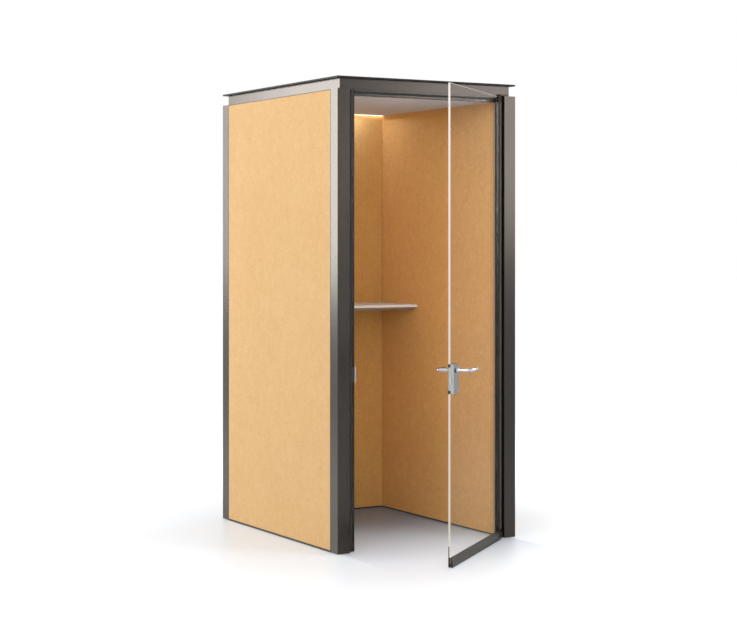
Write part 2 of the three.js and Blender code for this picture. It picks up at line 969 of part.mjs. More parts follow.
function doorGlass() {
  const hinge = glassHingeReach;
  const patchFoot = glassTop - patchHeight - fit;
  const patchEdge = -patchBlock - fit;
  const notch = freeEdge + notchLength;
  const leaf = outline([
    [freeEdge, glassFoot],
    [hinge, glassFoot],
    [hinge, patchFoot],
    [patchEdge, patchFoot],
    [patchEdge, glassTop],
    [freeEdge, glassTop],
    [freeEdge, lockHigh],
    [notch, lockHigh],
    [notch, lockLow],
    [freeEdge, lockLow],
  ]);
  return alongY(leaf, -glassHalf, glassHalf);
}

function railSection() {
  const cheek = -glassHalf - fit;
  return outline([
    [railInner, railLift],
    [railInner, railLift + railLedge],
    [cheek, railLift + railLedge],
    [cheek, railTop],
    [cheek - railLip, railTop],
    [railOuter, railTop - railSlope],
    [railOuter, railLift + railFoot],
    [railOuter + railFoot, railLift],
  ]);
}

// The hinge end of the rail is rounded in plan, to turn clear of the jamb and the post
function bottomRail() {
  const start = freeEdge + endCapThickness + fit;
  const section = alongX(railSection(), start, railNose);
  const swing = Math.abs(railOuter);
  const turn = Math.acos(railNose / swing);
  const plan = new THREE.Shape();
  plan.moveTo(start, railOuter);
  plan.lineTo(0, railOuter);
  plan.absarc(0, 0, swing, -Math.PI / 2, -turn);
  plan.lineTo(railNose, 0);
  plan.absarc(0, 0, railNose, 0, Math.PI / 2);
  plan.lineTo(start, railNose);
  const bore = alongZ(circle(0, 0, pivotBore), railLift - past, railLift + railLedge + past);
  return cut(common(section, alongZ(plan, railLift - past, railTop + past)), bore);
}

function floorSweep() {
  const low = sweepLift;
  const high = railLift - fit;
  const base = high - sweepBase;
  const middle = (railOuter + railInner) / 2;
  const outer = middle - sweepWidth / 2;
  const inner = middle + sweepWidth / 2;
  const section = outline([
    [outer, high],
    [outer, low],
    [outer + sweepLip, low],
    [outer + sweepLip, base],
    [inner - sweepLip, base],
    [inner - sweepLip, low],
    [inner, low],
    [inner, high],
  ]);
  return alongX(section, freeEdge + endCapThickness, -sweepFromPivot);
}

function topPatch() {
  const outerFace = -glassHalf - fit;
  const innerFace = glassHalf + fit;
  const innerEnd = -patchInnerEnd;
  const plan = outline([
    [-patchLength, outerFace - patchOuter],
    [glassHingeReach, outerFace - patchOuter],
    [glassHingeReach, glassHalf],
    [innerEnd, glassHalf],
    [innerEnd, innerFace + patchInner],
    [-patchLength, innerFace + patchInner],
    [-patchLength, innerFace],
    [-patchBlock, innerFace],
    [-patchBlock, outerFace],
    [-patchLength, outerFace],
  ]);
  const pinFoot = postTop + fit - topPinLength - fit;
  const bore = alongZ(circle(0, 0, pivotBore), pinFoot, glassTop + past);
  return cut(alongZ(plan, glassTop - patchHeight, glassTop), bore);
}

const lockOuter = -glassHalf - lockProud;
const lockInner = glassHalf + fit + lockPlate;
const spindleX = freeEdge + leverBackset;
const plugX = freeEdge + plugBackset;
const caseLow = lockLow + gasketEnd;
const caseHigh = lockHigh - gasketEnd;
const caseLength = notchLength - fit - gasketBack;

// Lock case: a cover on the outer face and a core in the notch, with the seats of spindle, latch and key plug
function lockCase() {
  const behind = freeEdge + lockLength;
  const cover = new THREE.Shape();
  cover.moveTo(freeEdge, lockLow);
  cover.lineTo(behind - lockCorner, lockLow);
  cover.absarc(behind - lockCorner, lockLow + lockCorner, lockCorner, -Math.PI / 2, 0);
  cover.lineTo(behind, lockHigh - lockCorner);
  cover.absarc(behind - lockCorner, lockHigh - lockCorner, lockCorner, 0, Math.PI / 2);
  cover.lineTo(freeEdge, lockHigh);
  const coverBack = -glassHalf - fit;
  const core = rectangle(freeEdge, freeEdge + caseLength - fit, caseLow + fit, caseHigh - fit);
  const body = join(
    alongY(cover, lockOuter, coverBack),
    alongY(core, coverBack - past, glassHalf),
  );
  const spindleHole = alongY(
    circle(spindleX, leverHeight, spindleBore / 2),
    lockOuter - past,
    glassHalf + past,
  );
  const channelFar = freeEdge - latchThrow + latchLength + latchTravel + fit;
  const channel = block(
    freeEdge - past,
    channelFar,
    latchFromGlassCentre - latchThickness - fit,
    latchFromGlassCentre + fit,
    latchLow - fit,
    latchHigh + fit,
  );
  const plugSeat = alongY(
    circle(plugX, plugHeight, plugDiameter / 2 + fit),
    lockOuter - past,
    lockOuter + plugDepth + fit,
  );
  return cut(body, spindleHole, channel, plugSeat);
}

function lockInnerPlate() {
  const plate = rectangle(freeEdge, freeEdge + lockLength, lockLow, lockHigh);
  plate.holes.push(circle(spindleX, leverHeight, spindleBore / 2));
  return alongY(plate, glassHalf + fit, lockInner);
}

function lockGasket() {
  const shape = outline([
    [freeEdge, lockLow + fit],
    [freeEdge + notchLength - fit, lockLow + fit],
    [freeEdge + notchLength - fit, lockHigh - fit],
    [freeEdge, lockHigh - fit],
    [freeEdge, caseHigh],
    [freeEdge + caseLength, caseHigh],
    [freeEdge + caseLength, caseLow],
    [freeEdge, caseLow],
  ]);
  return alongY(shape, -glassHalf, glassHalf);
}

// Latch bolt: its inner side slopes, so that the strike plate pushes it back as the door shuts
function latchBolt() {
  const tip = freeEdge - latchThrow;
  const outer = latchFromGlassCentre - latchThickness;
  const inner = latchFromGlassCentre;
  const plan = outline([
    [tip, outer],
    [tip + latchLength, outer],
    [tip + latchLength, inner],
    [freeEdge - latchRoot, inner],
    [tip, outer + latchTip],
  ]);
  return alongZ(plan, latchLow, latchHigh);
}

function keyPlug() {
  const body = alongY(
    circle(plugX, plugHeight, plugDiameter / 2),
    lockOuter - fit,
    lockOuter + plugDepth,
  );
  const halfWidth = keySlotWidth / 2;
  const halfHeight = keySlotHeight / 2;
  const keyway = block(
    plugX - halfWidth,
    plugX + halfWidth,
    lockOuter - past,
    lockOuter + keySlotDepth,
    plugHeight - halfHeight,
    plugHeight + halfHeight,
  );
  return cut(body, keyway);
}

// The two levers share a spindle that runs from neck to neck
function spindle() {
  const half = spindleWidth / 2;
  const shape = rectangle(
    spindleX - half,
    spindleX + half,
    leverHeight - half,
    leverHeight + half,
  );
  return alongY(shape, lockOuter - leverGap + fit, lockInner + leverGap - fit);
}

// A lever in its own frame: neck along +Y from the lock, grip along +X towards the hinge side
function lever(collarDiameter) {
  const path = new THREE.CurvePath();
  const straight = leverNeck - leverBend;
  const bendCentre = new THREE.Vector3(leverBend, straight, 0);
  const elbow = new THREE.CatmullRomCurve3(
    Array.from({ length: arcSegments + 1 }, (_, i) => {
      const angle = Math.PI - (i / arcSegments) * (Math.PI / 2);
      return new THREE.Vector3(Math.cos(angle), Math.sin(angle), 0)
        .multiplyScalar(leverBend)
        .add(bendCentre);
    }),
  );
  path.add(new THREE.LineCurve3(new THREE.Vector3(0, 0, 0), new THREE.Vector3(0, straight, 0)));
  path.add(elbow);
  path.add(
    new THREE.LineCurve3(
      new THREE.Vector3(leverBend, leverNeck, 0),
      new THREE.Vector3(leverGrip, leverNeck, 0),
    ),
  );
  const round = straightened(circle(0, 0, leverDiameter / 2), arcSegments);
  const tube = new THREE.ExtrudeGeometry(round, { steps: leverSteps, extrudePath: path });
  const wide = collarDiameter / 2;
  const slim = leverDiameter / 2 - collarSink;
  const collar = turned([
    [0, 0],
    [wide, 0],
    [wide, collarLand],
    [slim, collarHeight],
    [0, collarHeight],
  ]).rotateX(-Math.PI / 2);
  return join(tube, collar);
}

function door() {
  const leaf = nested(pod, pivotX, pivotY, 0, THREE.MathUtils.degToRad(doorOpening));
  piece("door_glass", doorGlass(), clearGlass, leaf);
  piece("door_bottom_rail", bottomRail(), bronze, leaf);
  const cap = alongX(railSection(), freeEdge, freeEdge + endCapThickness);
  piece("rail_end_cap", cap, darkBronze, leaf);
  piece("floor_sweep", floorSweep(), blackRubber, leaf);
  piece("top_pivot_patch", topPatch(), darkBronze, leaf);

  piece("lock_case", lockCase(), steel, leaf);
  piece("lock_inner_plate", lockInnerPlate(), steel, leaf);
  piece("lock_gasket", lockGasket(), blackRubber, leaf);
  piece("latch_bolt", latchBolt(), steel, leaf);
  piece("key_plug", keyPlug(), zincSteel, leaf);
  piece("lever_spindle", spindle(), zincSteel, leaf);
  const innerSeat = nested(leaf, spindleX, lockInner + leverGap, leverHeight);
  piece("inner_lever", lever(innerCollar), steel, innerSeat);
  const outerSeat = nested(leaf, spindleX, lockOuter - leverGap, leverHeight);
  outerSeat.rotation.x = Math.PI;
  piece("outer_lever", lever(outerCollar), steel, outerSeat);
}

posts();
walls();
roof();
ceiling();
roofVoid();
shelf();
doorFrame();
piece("top_pivot_bracket", topBracket(), darkBronze);
piece("foot_pivot_bracket", footBracket(), zincSteel);
door();

export default pod;
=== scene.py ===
"""Looks of the acoustic office pod: felt boards, eased metal, levers, glass, light and camera."""
import json
import math

import bpy
from mathutils import Matrix, Vector


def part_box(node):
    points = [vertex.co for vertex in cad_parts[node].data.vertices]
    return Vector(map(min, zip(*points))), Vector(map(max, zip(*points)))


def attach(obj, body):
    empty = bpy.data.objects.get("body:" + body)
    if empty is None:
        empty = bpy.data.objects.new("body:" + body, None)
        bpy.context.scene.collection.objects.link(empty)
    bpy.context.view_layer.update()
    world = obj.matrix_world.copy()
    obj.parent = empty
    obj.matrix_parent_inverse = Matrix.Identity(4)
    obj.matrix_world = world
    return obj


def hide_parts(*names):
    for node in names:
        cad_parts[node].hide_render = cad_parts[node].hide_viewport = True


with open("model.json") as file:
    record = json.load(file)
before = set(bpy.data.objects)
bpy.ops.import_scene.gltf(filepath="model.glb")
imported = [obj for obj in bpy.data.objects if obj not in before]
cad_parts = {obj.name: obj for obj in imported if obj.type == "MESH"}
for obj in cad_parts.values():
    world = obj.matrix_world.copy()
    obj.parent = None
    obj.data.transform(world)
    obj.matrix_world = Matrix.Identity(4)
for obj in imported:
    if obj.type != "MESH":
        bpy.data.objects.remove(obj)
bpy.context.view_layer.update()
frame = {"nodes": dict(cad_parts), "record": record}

record = frame["record"]
nodes = frame["nodes"]
body_of = {node: body for body, members in record["behaviour"]["bodies"].items() for node in members}
joints = {joint["name"]: joint for joint in record["behaviour"]["joints"]}

MM = 0.001
DOOR_OPENING = -math.radians(joints["door_swing"]["range_deg"][0])
DOOR_PIVOT = Vector(joints["door_swing"]["pos_m"])
DOOR = Matrix.Translation(DOOR_PIVOT) @ Matrix.Rotation(DOOR_OPENING, 4, "Z")
DOOR_FREE_SIDE = DOOR.to_3x3() @ Vector((-1, 0, 0))


# Selecting and editing
def choose(*pieces):
    bpy.ops.object.select_all(action="DESELECT")
    for piece in pieces:
        piece.select_set(True)
        bpy.context.view_layer.objects.active = piece


def edit(piece, what="VERT"):
    choose(piece)
    bpy.ops.object.mode_set(mode="EDIT")
    bpy.ops.mesh.select_mode(type=what)
    bpy.ops.mesh.select_all(action="SELECT")


def leave():
    bpy.ops.object.mode_set(mode="OBJECT")


def edit_faces(piece, wanted):
    """Opens the piece in edit mode with only the faces that wanted(centre, normal) picks."""
    edit(piece, "FACE")
    bpy.ops.mesh.select_all(action="DESELECT")
    leave()
    for face in piece.data.polygons:
        face.select = bool(wanted(face.center, face.normal))
    bpy.ops.object.mode_set(mode="EDIT")


def modify(piece, kind, **settings):
    choose(piece)
    modifier = piece.modifiers.new(kind.lower(), kind)
    for key, value in settings.items():
        setattr(modifier, key, value)
    bpy.ops.object.modifier_apply(modifier=modifier.name)


def settle(piece):
    choose(piece)
    bpy.ops.object.transform_apply(location=True, rotation=True, scale=True)


METAL_SMOOTH_BELOW = math.radians(38)
LEVER_SMOOTH_BELOW = math.radians(45)
FELT_SMOOTH_BELOW = math.radians(60)


def shade(piece, angle=METAL_SMOOTH_BELOW):
    choose(piece)
    bpy.ops.object.shade_smooth_by_angle(angle=angle)


def dress(piece, material):
    piece.data.materials.clear()
    piece.data.materials.append(material)


def stand_for(piece, node, material):
    """The piece takes the node's place and body, and wears the given material; the node is hidden."""
    dress(piece, material)
    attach(piece, body_of[node])
    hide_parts(node)


# Shader helpers
def add(tree, kind, **settings):
    node = tree.nodes.new(kind)
    for key, value in settings.items():
        setattr(node, key, value)
    return node


def feed(tree, socket, value):
    """Joins an output to the socket, or sets the socket to a plain value."""
    if isinstance(value, bpy.types.NodeSocket):
        tree.links.new(value, socket)
    else:
        socket.default_value = value


def maths(tree, operation, first, second=0.0):
    node = add(tree, "ShaderNodeMath", operation=operation)
    feed(tree, node.inputs[0], first)
    feed(tree, node.inputs[1], second)
    return node.outputs["Value"]


def mixture(tree, *parts):
    """The sum of several values, each times its own share."""
    total = 0.0
    for value, share in parts:
        total = maths(tree, "ADD", maths(tree, "MULTIPLY", value, share), total)
    return total


def spread(tree, value, low, high, from_low=0.0, from_high=1.0, curve="LINEAR"):
    """The value, carried over from one range to another along a straight or a soft curve."""
    node = add(tree, "ShaderNodeMapRange", interpolation_type=curve)
    feed(tree, node.inputs["Value"], value)
    feed(tree, node.inputs["From Min"], from_low)
    feed(tree, node.inputs["From Max"], from_high)
    feed(tree, node.inputs["To Min"], low)
    feed(tree, node.inputs["To Max"], high)
    return node.outputs["Result"]


def noise(tree, place, scale, detail=2.0, roughness=0.5, distortion=0.0):
    node = add(tree, "ShaderNodeTexNoise")
    feed(tree, node.inputs["Vector"], place)
    feed(tree, node.inputs["Scale"], scale)
    feed(tree, node.inputs["Detail"], detail)
    feed(tree, node.inputs["Roughness"], roughness)
    feed(tree, node.inputs["Distortion"], distortion)
    return node.outputs["Fac"]


def blend_colours(tree, factor, first, second):
    node = add(tree, "ShaderNodeMix", data_type="RGBA")
    feed(tree, node.inputs["Factor"], factor)
    feed(tree, node.inputs["A"], first)
    feed(tree, node.inputs["B"], second)
    return next(output for output in node.outputs if output.type == "RGBA")


def brightened(tree, colour, factor):
    """The colour, made lighter or darker by a factor that changes over the surface."""
    node = add(tree, "ShaderNodeHueSaturation")
    feed(tree, node.inputs["Color"], colour)
    feed(tree, node.inputs["Value"], factor)
    return node.outputs["Color"]


def node_group(name, inputs, outputs):
    tree = bpy.data.node_groups.new(name, "ShaderNodeTree")
    for label, kind in inputs:
        tree.interface.new_socket(name=label, in_out="INPUT", socket_type=kind)
    for label, kind in outputs:
        tree.interface.new_socket(name=label, in_out="OUTPUT", socket_type=kind)
    return tree, add(tree, "NodeGroupInput").outputs, add(tree, "NodeGroupOutput").inputs


# Patterns shared by the finishes
VECTOR = "NodeSocketVector"
COLOUR = "NodeSocketColor"
FLOAT = "NodeSocketFloat"
SURFACE = [("Color", COLOUR), ("Roughness", FLOAT), ("Height", FLOAT)]
MIDDLE = 0.5


def drawn_grain_group():
    """Fine lines along a drawn or brushed metal, with broad smudges in its gloss."""
    inputs = [
        ("Grain Place", VECTOR),
        ("Smudge Place", VECTOR),
        ("Tone", COLOUR),
        ("Contrast", FLOAT),
        ("Matt", FLOAT),
        ("Matt Spread", FLOAT),
    ]
    tree, given, result = node_group("drawn_grain", inputs, SURFACE)
    lines = noise(tree, given["Grain Place"], scale=1.0, detail=5.0, roughness=0.65)
    smudge = noise(tree, given["Smudge Place"], scale=7.0, detail=3.0, roughness=0.55)
    shift = maths(tree, "MULTIPLY", maths(tree, "SUBTRACT", lines, MIDDLE), given["Contrast"])
    feed(tree, result["Color"], brightened(tree, given["Tone"], maths(tree, "ADD", shift, 1.0)))
    both = mixture(tree, (lines, 0.45), (smudge, 0.55))
    sway = maths(tree, "MULTIPLY", maths(tree, "SUBTRACT", both, MIDDLE), given["Matt Spread"])
    feed(tree, result["Roughness"], maths(tree, "ADD", given["Matt"], sway))
    feed(tree, result["Height"], lines)
    return tree


def pressed_felt_group():
    """Matted fibres, with cloudy patches where the felt took more or less dye."""
    inputs = [("Place", VECTOR), ("Light", COLOUR), ("Dark", COLOUR)]
    tree, given, result = node_group("pressed_felt", inputs, SURFACE)
    fibre = noise(tree, given["Place"], scale=430.0, detail=4.0, roughness=0.7, distortion=2.4)
    tuft = noise(tree, given["Place"], scale=95.0, detail=3.0, roughness=0.6, distortion=0.8)
    patch = noise(tree, given["Place"], scale=21.0, detail=3.0, roughness=0.55, distortion=0.5)
    cloud = noise(tree, given["Place"], scale=3.2, detail=2.0, roughness=0.5)
    dye = mixture(tree, (fibre, 0.3), (tuft, 0.44), (patch, 0.17), (cloud, 0.09))
    share = spread(tree, dye, low=0.0, high=1.0, from_low=0.37, from_high=0.63)
    feed(tree, result["Color"], blend_colours(tree, share, given["Dark"], given["Light"]))
    matt = spread(tree, tuft, low=0.86, high=1.0, from_low=0.3, from_high=0.7)
    feed(tree, result["Roughness"], matt)
    feed(tree, result["Height"], mixture(tree, (fibre, 0.55), (tuft, 0.45)))
    return tree


def fine_speckle_group():
    """The faint unevenness of paint, laminate, moulded plastic and rubber."""
    inputs = [
        ("Place", VECTOR),
        ("Tone", COLOUR),
        ("Grain", FLOAT),
        ("Contrast", FLOAT),
        ("Matt", FLOAT),
        ("Matt Spread", FLOAT),
    ]
    tree, given, result = node_group("fine_speckle", inputs, SURFACE)
    grain = noise(tree, given["Place"], scale=given["Grain"], detail=3.0, roughness=0.6)
    cloud = noise(tree, given["Place"], scale=6.0, detail=3.0, roughness=0.5)
    both = mixture(tree, (grain, 0.6), (cloud, 0.4))
    shift = maths(tree, "SUBTRACT", both, MIDDLE)
    factor = maths(tree, "ADD", maths(tree, "MULTIPLY", shift, given["Contrast"]), 1.0)
    feed(tree, result["Color"], brightened(tree, given["Tone"], factor))
    matt = maths(tree, "ADD", maths(tree, "MULTIPLY", shift, given["Matt Spread"]), given["Matt"])
    feed(tree, result["Roughness"], matt)
    feed(tree, result["Height"], grain)
    return tree


DRAWN_GRAIN = drawn_grain_group()
PRESSED_FELT = pressed_felt_group()
FINE_SPECKLE = fine_speckle_group()


# Finishes
def srgb(red, green, blue):
    """A colour picked in display values, as the shader wants it."""

    def linear(value):
        value /= 255
        return value / 12.92 if value <= 0.04045 else ((value + 0.055) / 1.055) ** 2.4

    return (linear(red), linear(green), linear(blue), 1.0)


def new_material(name, group, values, bump, **shader_values):
    """Colour, roughness and bump from one of the patterns. A pair of turn and stretch lays its grain."""
    material = bpy.data.materials.new(name)
    material.use_nodes = True
    tree = material.node_tree
    shader = tree.nodes["Principled BSDF"]
    place = add(tree, "ShaderNodeTexCoord").outputs["Object"]
    placed = add(tree, "ShaderNodeGroup", node_tree=group)
    for label, value in values.items():
        if isinstance(value, tuple) and len(value) == 2:
            turn, stretch = value
            mapping = add(tree, "ShaderNodeMapping", vector_type="TEXTURE")
            feed(tree, mapping.inputs["Vector"], place)
            mapping.inputs["Rotation"].default_value = (0, 0, turn)
            mapping.inputs["Scale"].default_value = [1 / factor for factor in stretch]
            value = mapping.outputs["Vector"]
        feed(tree, placed.inputs[label], value)
    for label in ("Place", "Smudge Place"):
        if label in placed.inputs:
            feed(tree, placed.inputs[label], place)
    feed(tree, shader.inputs["Base Color"], placed.outputs["Color"])
    feed(tree, shader.inputs["Roughness"], placed.outputs["Roughness"])
    strength, depth = bump
    relief = add(tree, "ShaderNodeBump")
    relief.inputs["Strength"].default_value = strength
    relief.inputs["Distance"].default_value = depth
    feed(tree, relief.inputs["Height"], placed.outputs["Height"])
    feed(tree, shader.inputs["Normal"], relief.outputs["Normal"])
    for label, value in shader_values.items():
        shader.inputs[label.replace("_", " ")].default_value = value
    return material


FINE = 420
LONG = 1.5
UPRIGHT = (0.0, (FINE, FINE, LONG))
ACROSS = (0.0, (LONG, FINE, FINE))
FRONT_TO_BACK = (0.0, (FINE, LONG, FINE))
ALONG_DOOR = (DOOR_OPENING, (LONG, FINE, FINE))
GRAIN_DEPTH = 0.4 * MM
SPECKLE_DEPTH = 0.5 * MM
FIBRE_DEPTH = 1.2 * MM
FIBRE_RELIEF = 0.35


def metal(name, tone, grain, contrast, matt, matt_spread, relief, **shader_values):
    values = {
        "Grain Place": grain,
        "Tone": tone,
        "Contrast": contrast,
        "Matt": matt,
        "Matt Spread": matt_spread,
    }
    finish = {"Metallic": 1.0, **shader_values}
    return new_material(name, DRAWN_GRAIN, values, (relief, GRAIN_DEPTH), **finish)


WARM_GLOSS = (1.0, 0.965, 0.93, 1)
DULL_GLOSS = (0.65, 0.63, 0.6, 1)
SATIN = 0.25
DULL = 0.36


def coated(name, tone, grain, matt=SATIN, edge_gloss=WARM_GLOSS):
    """Drawn aluminium under a dark coat, which keeps a trace of the drawing lines."""
    coat = {"Metallic": 0.7, "Specular_Tint": edge_gloss}
    return metal(name, tone, grain, contrast=0.12, matt=matt, matt_spread=0.06, relief=0.005, **coat)


def speckled(name, tone, grain, contrast, matt, matt_spread, relief, **shader_values):
    values = {
        "Tone": tone,
        "Grain": grain,
        "Contrast": contrast,
        "Matt": matt,
        "Matt Spread": matt_spread,
    }
    return new_material(name, FINE_SPECKLE, values, (relief, SPECKLE_DEPTH), **shader_values)


def felt(name, light, dark):
    values = {"Light": light, "Dark": dark}
    sheen = {"Sheen_Weight": 0.25, "Sheen_Roughness": 0.5, "Specular_IOR_Level": 0.2}
    return new_material(name, PRESSED_FELT, values, (FIBRE_RELIEF, FIBRE_DEPTH), **sheen)


BRONZE = srgb(56, 51, 47)
DARK_BRONZE = srgb(46, 42, 39)
RAIL_BRONZE = srgb(44, 40, 36)
JAMB_BRONZE = srgb(42, 38, 35)

# Coats: tone, grain, matt, gloss at a low angle
bronze_upright = coated("bronze_upright", BRONZE, UPRIGHT)
bronze_across = coated("bronze_across", BRONZE, ACROSS)
bronze_front_to_back = coated("bronze_front_to_back", BRONZE, FRONT_TO_BACK)
bronze_door = coated("bronze_door", RAIL_BRONZE, ALONG_DOOR, SATIN, DULL_GLOSS)
dark_bronze = coated("dark_bronze", DARK_BRONZE, ACROSS, DULL)
jamb_coat = coated("jamb_coat", JAMB_BRONZE, UPRIGHT, SATIN, DULL_GLOSS)

# Metals: tone, grain, contrast, matt, spread of matt, relief
steel_satin = metal("steel_satin", srgb(104, 104, 107), ALONG_DOOR, 0.16, 0.26, 0.12, 0.012)
steel_lever = metal("steel_lever", srgb(170, 170, 173), ALONG_DOOR, 0.08, 0.2, 0.1, 0.006)
steel_bright = metal("steel_bright", srgb(176, 175, 173), UPRIGHT, 0.12, 0.3, 0.15, 0.01)
steel_pale = metal("steel_pale", srgb(226, 225, 223), UPRIGHT, 0.06, 0.36, 0.1, 0.006)
steel_zinc = metal("steel_zinc", srgb(150, 151, 153), UPRIGHT, 0.25, 0.42, 0.3, 0.02)

# Felts: light and dark fibres
felt_outer = felt("felt_outer", srgb(247, 204, 140), srgb(230, 178, 113))
felt_inner = felt("felt_inner", srgb(238, 193, 121), srgb(215, 163, 91))
mineral_core = felt("mineral_core", srgb(190, 184, 168), srgb(160, 152, 134))

# Paint, laminate, painted glass edges, rubber and plastic: tone, grain, contrast, matt, spread of matt,
# relief
ceiling_paint = speckled("ceiling_paint", srgb(199, 212, 232), 260.0, 0.08, 0.7, 0.2, 0.15)
shelf_laminate = speckled("shelf_laminate", srgb(238, 243, 249), 500.0, 0.05, 0.36, 0.2, 0.05)
# Painted light and shade on the shelf: its front face lighter and its underside darker than the laminate,
# as the light falls on them.
shelf_front_painted_light = speckled("shelf_front_painted_light", srgb(247, 250, 254), 500.0, 0.03, 0.3, 0.15, 0.03)
shelf_underside_painted_shade = speckled("shelf_underside_painted_shade", srgb(172, 178, 186), 500.0, 0.06, 0.42, 0.2, 0.05)
# Painted glow: a pale warm colour for the lit free edge and top of the glass leaf.
glass_edge_painted_glow = speckled("glass_edge_painted_glow", srgb(252, 243, 231), 900.0, 0.1, 0.45, 0.3, 0.1)
# Painted shade: a dark colour for the hinge edge of the glass leaf.
shaded_glass = speckled("shaded_glass", srgb(60, 61, 59), 900.0, 0.1, 0.4, 0.2, 0.05)
lip_edge = speckled("lip_edge", srgb(150, 143, 134), 600.0, 0.05, 0.5, 0.2, 0.04)
roof_coat = speckled("roof_coat", srgb(36, 33, 31), 700.0, 0.2, 0.6, 0.2, 0.1, Specular_IOR_Level=0.25)
rubber_black = speckled("rubber_black", srgb(52, 50, 48), 600.0, 0.3, 0.72, 0.3, 0.2)
seal_black = speckled("seal_black", srgb(24, 23, 22), 600.0, 0.3, 0.8, 0.3, 0.2)
plastic_black = speckled("plastic_black", srgb(36, 35, 34), 800.0, 0.25, 0.5, 0.3, 0.2)


DIFFUSER_GLOW = 5.0
GLASS_REFRACTION = 1.03
CLEAN_GLASS = (1.0, 0.996, 0.985, 1)
WIPED_GLASS = (0.985, 0.978, 0.962, 1)


def opal_material():
    """Lit diffuser: a white glow that falls off a little between its light points."""
    lit = srgb(252, 252, 250)
    material = speckled("opal_lit", srgb(255, 244, 226), 300.0, 0.04, 0.5, 0.1, 0.05)
    tree = material.node_tree
    shader = tree.nodes["Principled BSDF"]
    place = add(tree, "ShaderNodeTexCoord").outputs["Object"]
    points = noise(tree, place, scale=18.0, detail=1.0)
    glow = spread(tree, points, low=0.82, high=1.0, from_low=0.3, from_high=0.7)
    feed(tree, shader.inputs["Emission Color"], brightened(tree, lit, glow))
    shader.inputs["Emission Strength"].default_value = DIFFUSER_GLOW
    return material


def glass_material():
    """Clear toughened glass with faint wipe marks. Lamps shine through it."""
    material = bpy.data.materials.new("clear_glass")
    material.use_nodes = True
    tree = material.node_tree
    shader = tree.nodes["Principled BSDF"]
    shader.inputs["Transmission Weight"].default_value = 1.0
    shader.inputs["IOR"].default_value = GLASS_REFRACTION
    place = add(tree, "ShaderNodeTexCoord").outputs["Object"]
    wipe = noise(tree, place, scale=5.0, detail=4.0, roughness=0.6, distortion=1.2)
    share = spread(tree, wipe, low=0.0, high=1.0, from_low=0.35, from_high=0.7)
    feed(tree, shader.inputs["Base Color"], blend_colours(tree, share, CLEAN_GLASS, WIPED_GLASS))
    shader.inputs["Roughness"].default_value = 0.0
    clear = add(tree, "ShaderNodeBsdfTransparent")
    path = add(tree, "ShaderNodeLightPath")
    either = add(tree, "ShaderNodeMixShader")
    feed(tree, either.inputs["Fac"], path.outputs["Is Shadow Ray"])
    feed(tree, either.inputs[1], shader.outputs["BSDF"])
    feed(tree, either.inputs[2], clear.outputs["BSDF"])
    feed(tree, tree.nodes["Material Output"].inputs["Surface"], either.outputs["Shader"])
    return material


opal_lit = opal_material()
clear_glass = glass_material()


# Pieces made from the solids
MERGE_WITHIN = 0.01 * MM
FLAT_WITHIN = math.radians(0.5)
EASE_FROM = math.radians(40)
GLIDE_EASE = 0.2 * MM
FINE_EASE = 0.3 * MM
FRAME_EASE = 0.4 * MM
BAR_EASE = 0.5 * MM
SHELF_EASE = 0.6 * MM
ROOF_EASE = 0.8 * MM
CASE_EASE = 0.9 * MM
GLASS_EASE = 1.2 * MM
FLAT = 0.99
FACING = 0.9
HALF_TURNED = 0.7
SLANTED = 0.3


def eased(node, material, width, segments=2):
    """A copy of a node with its seams merged and its edges eased, which takes the node's place."""
    piece = bpy.data.objects.new(node + "_eased", nodes[node].data.copy())
    bpy.context.scene.collection.objects.link(piece)
    edit(piece)
    bpy.ops.mesh.remove_doubles(threshold=MERGE_WITHIN)
    bpy.ops.mesh.dissolve_limited(angle_limit=FLAT_WITHIN)
    leave()
    modify(
        piece,
        "BEVEL",
        width=width,
        segments=segments,
        limit_method="ANGLE",
        angle_limit=EASE_FROM,
        use_clamp_overlap=True,
    )
    shade(piece)
    modify(piece, "WEIGHTED_NORMAL", keep_sharp=True)
    stand_for(piece, node, material)
    return piece


def painted(material, *names):
    for name in names:
        dress(nodes[name], material)


OUTER_FELT_ROLL = 2.0 * MM
INNER_FELT_ROLL = 0.5 * MM
FELT_RIM = 6 * MM
FELT_BORDER = 30 * MM


def felt_board(node, material, roll):
    """A pressed felt board with rolled edges."""
    low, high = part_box(node)
    size = high - low
    choose()
    bpy.ops.mesh.primitive_cube_add(size=1, location=(low + high) / 2, scale=size)
    board = bpy.context.object
    board.name = node + "_board"
    settle(board)
    edit(board, "EDGE")
    bpy.ops.mesh.bevel(offset=roll, segments=4, affect="EDGES")
    leave()
    thin = min(range(3), key=lambda axis: size[axis])
    edit_faces(board, lambda centre, normal: abs(normal[thin]) > FLAT)
    bpy.ops.mesh.inset(thickness=FELT_RIM, depth=0.0)
    bpy.ops.mesh.inset(thickness=FELT_BORDER, depth=0.0)
    leave()
    shade(board, FELT_SMOOTH_BELOW)
    modify(board, "WEIGHTED_NORMAL", keep_sharp=True)
    stand_for(board, node, material)


def felt_boards():
    for side in ("left", "right", "rear"):
        felt_board(side + "_outer_felt", felt_outer, OUTER_FELT_ROLL)
        felt_board(side + "_inner_felt", felt_inner, INNER_FELT_ROLL)


def second_finish(piece, material, wanted):
    """Gives another material to the faces that wanted(centre, normal) picks."""
    piece.data.materials.append(material)
    index = len(piece.data.materials) - 1
    for face in piece.data.polygons:
        if wanted(face.center, face.normal):
            face.material_index = index


LIP_REACH = 0.4005
LIP_PALE_FROM = -0.594


def jamb(node, side):
    """A door jamb, with a pale strip along the inner half of the lip that looks into the doorway."""
    piece = eased(node, jamb_coat, FRAME_EASE)
    edit(piece)
    bpy.ops.mesh.bisect(plane_co=(0, LIP_PALE_FROM, 0), plane_no=(0, 1, 0))
    leave()

    def pale(centre, normal):
        inwards = normal.x * side < -HALF_TURNED
        return inwards and centre.x * side < LIP_REACH and centre.y > LIP_PALE_FROM

    second_finish(piece, lip_edge, pale)


